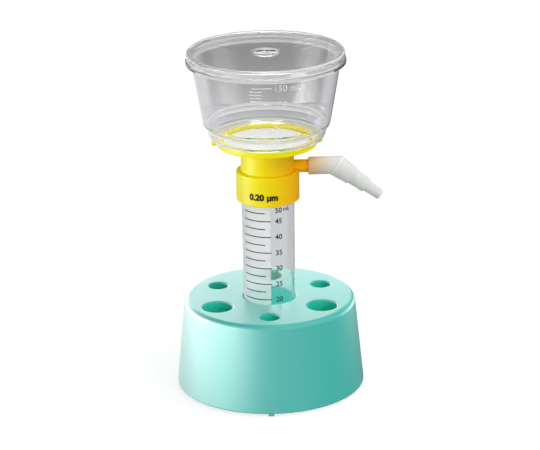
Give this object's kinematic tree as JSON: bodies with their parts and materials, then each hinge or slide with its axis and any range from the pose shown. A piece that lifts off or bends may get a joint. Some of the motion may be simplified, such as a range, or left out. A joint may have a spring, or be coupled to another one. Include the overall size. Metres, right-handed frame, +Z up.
{
  "type": "vacuum filtration unit",
  "caption": "Screw-on vacuum filter with a covered clear funnel and an angled hose adapter, on a graduated conical tube held in a round stand.",
  "frame": {"origin": "centre of the stand's middle foot, on the surface that the unit stands on", "axes": "+Z up along the tube's axis, +X along the vacuum port towards the hose adapter, -Y towards the viewer who reads the scale"},
  "size_m": [0.1179, 0.1066, 0.1961],
  "materials": {
    "stand_plastic": "satin moulded plastic",
    "tube_clear": "clear moulded plastic with printed scale",
    "seal": "smooth silicone",
    "base_plastic": "semi-gloss moulded plastic",
    "support_web": "nonwoven web",
    "membrane": "matt porous film",
    "bowl_clear": "clear polished plastic",
    "lid_clear": "clear polished plastic",
    "adapter_plastic": "translucent moulded plastic"
  },
  "bodies": {
    "stand_and_tube": {"stand": "stand_plastic", "tube": "tube_clear"},
    "gasket": {"tube_gasket": "seal"},
    "filter_unit": {"filter_base": "base_plastic", "membrane_support": "support_web", "membrane": "membrane", "funnel": "bowl_clear", "lid": "lid_clear"},
    "adapter": {"hose_adapter": "adapter_plastic"}
  },
  "joints": [
    {"name": "lift", "type": "slide", "parent": "stand_and_tube", "child": "gasket", "axis": [0, 0, 1], "range_m": [0, 0.0045]},
    {"name": "unscrew", "type": "hinge", "parent": "gasket", "child": "filter_unit", "pos_m": [0, 0, 0.119], "axis": [0, 0, 1], "range_deg": [0, 540]},
    {"name": "adapter_swivel", "type": "hinge", "parent": "filter_unit", "child": "adapter", "pos_m": [0.0227, 0, 0.129], "axis": [1, 0, 0], "continuous": true}
  ],
  "couplings": [
    {"joint": "lift", "follows": "unscrew", "m_per_rad": 0.00047746}
  ]
}
